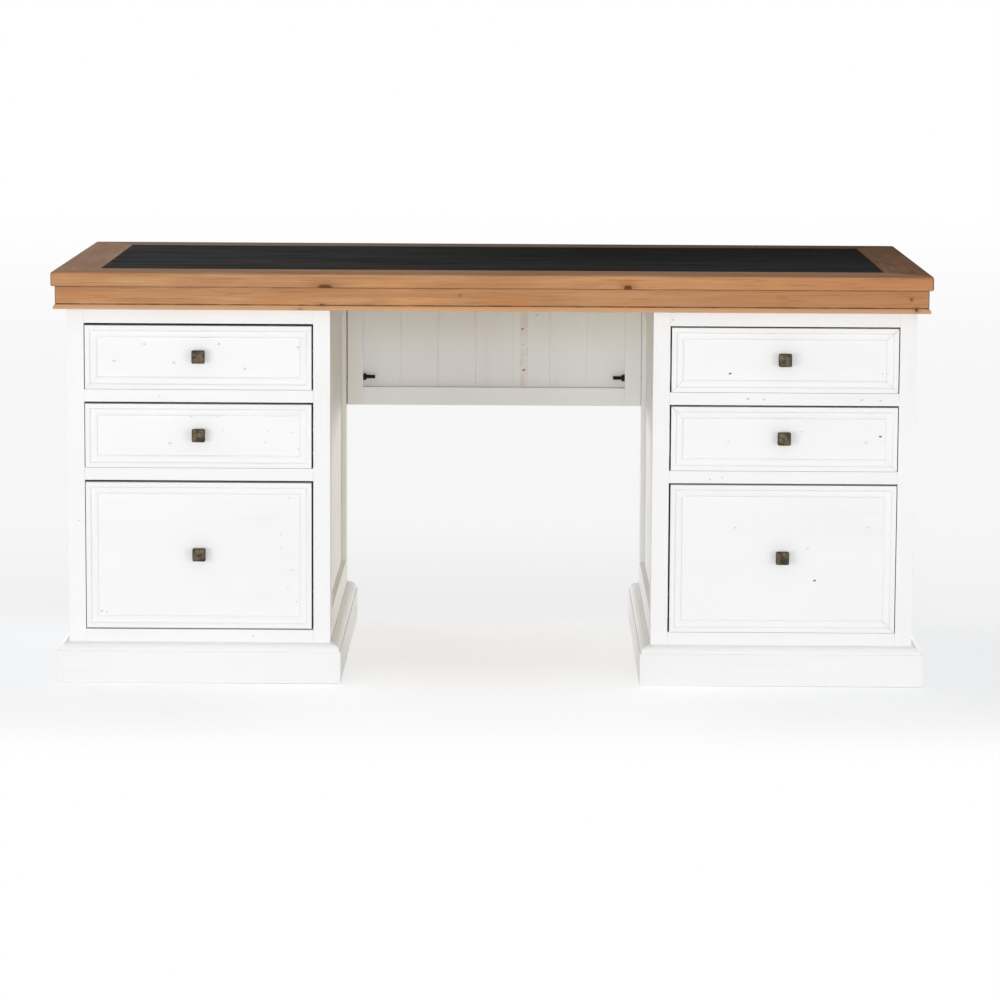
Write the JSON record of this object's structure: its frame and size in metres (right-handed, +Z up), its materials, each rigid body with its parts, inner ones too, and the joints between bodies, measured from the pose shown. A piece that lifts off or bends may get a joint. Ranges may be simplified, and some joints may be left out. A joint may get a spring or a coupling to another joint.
{
  "type": "executive desk",
  "caption": "Double-pedestal executive desk with a framed wooden top, dark inset, moulded drawers that slide out, plinths and a boarded modesty panel.",
  "frame": {"origin": "on the floor, under the middle of the desk top", "axes": "+X along the desk to the sitter's right, +Y from the sitter's side to the back, +Z up"},
  "size_m": [1.612, 0.785, 0.762],
  "materials": {
    "pine": "waxed pine",
    "white_paint": "distressed off-white paint",
    "inset": "matt black",
    "bronze": "antique bronze",
    "black_steel": "black oxide",
    "slide_steel": "zinc plated",
    "drawer_wood": "plain sanded"
  },
  "bodies": {
    "desk": {"top_front_rail": "pine", "top_back_rail": "pine", "top_left_end": "pine", "top_right_end": "pine", "top_core": "drawer_wood", "top_inset": "inset", "apron_front": "pine", "apron_back": "pine", "apron_left": "pine", "apron_right": "pine", "modesty_frame": "white_paint", "modesty_planks": "white_paint", "modesty_bolts": "black_steel", "slide_battens": "drawer_wood", "slide_channels": "slide_steel", "left_face_frame": "white_paint", "left_outer_side_frame": "white_paint", "left_inner_side_frame": "white_paint", "left_side_panels": "white_paint", "left_back": "white_paint", "left_plinth": "white_paint", "left_floor_board": "drawer_wood", "right_face_frame": "white_paint", "right_outer_side_frame": "white_paint", "right_inner_side_frame": "white_paint", "right_side_panels": "white_paint", "right_back": "white_paint", "right_plinth": "white_paint", "right_floor_board": "drawer_wood"},
    "left_upper_drawer": {"left_upper_drawer_front": "white_paint", "left_upper_drawer_moulding": "white_paint", "left_upper_drawer_knob": "bronze", "left_upper_drawer_box": "drawer_wood", "left_upper_drawer_slides": "slide_steel"},
    "left_middle_drawer": {"left_middle_drawer_front": "white_paint", "left_middle_drawer_moulding": "white_paint", "left_middle_drawer_knob": "bronze", "left_middle_drawer_box": "drawer_wood", "left_middle_drawer_slides": "slide_steel"},
    "left_lower_drawer": {"left_lower_drawer_front": "white_paint", "left_lower_drawer_moulding": "white_paint", "left_lower_drawer_knob": "bronze", "left_lower_drawer_box": "drawer_wood", "left_lower_drawer_slides": "slide_steel"},
    "right_upper_drawer": {"right_upper_drawer_front": "white_paint", "right_upper_drawer_moulding": "white_paint", "right_upper_drawer_knob": "bronze", "right_upper_drawer_box": "drawer_wood", "right_upper_drawer_slides": "slide_steel"},
    "right_middle_drawer": {"right_middle_drawer_front": "white_paint", "right_middle_drawer_moulding": "white_paint", "right_middle_drawer_knob": "bronze", "right_middle_drawer_box": "drawer_wood", "right_middle_drawer_slides": "slide_steel"},
    "right_lower_drawer": {"right_lower_drawer_front": "white_paint", "right_lower_drawer_moulding": "white_paint", "right_lower_drawer_knob": "bronze", "right_lower_drawer_box": "drawer_wood", "right_lower_drawer_slides": "slide_steel"}
  },
  "joints": [
    {"name": "left_upper_drawer_slide", "type": "slide", "parent": "desk", "child": "left_upper_drawer", "axis": [0, -1, 0], "range_m": [0, 0.41]},
    {"name": "left_middle_drawer_slide", "type": "slide", "parent": "desk", "child": "left_middle_drawer", "axis": [0, -1, 0], "range_m": [0, 0.41]},
    {"name": "left_lower_drawer_slide", "type": "slide", "parent": "desk", "child": "left_lower_drawer", "axis": [0, -1, 0], "range_m": [0, 0.41]},
    {"name": "right_upper_drawer_slide", "type": "slide", "parent": "desk", "child": "right_upper_drawer", "axis": [0, -1, 0], "range_m": [0, 0.41]},
    {"name": "right_middle_drawer_slide", "type": "slide", "parent": "desk", "child": "right_middle_drawer", "axis": [0, -1, 0], "range_m": [0, 0.41]},
    {"name": "right_lower_drawer_slide", "type": "slide", "parent": "desk", "child": "right_lower_drawer", "axis": [0, -1, 0], "range_m": [0, 0.41]}
  ]
}
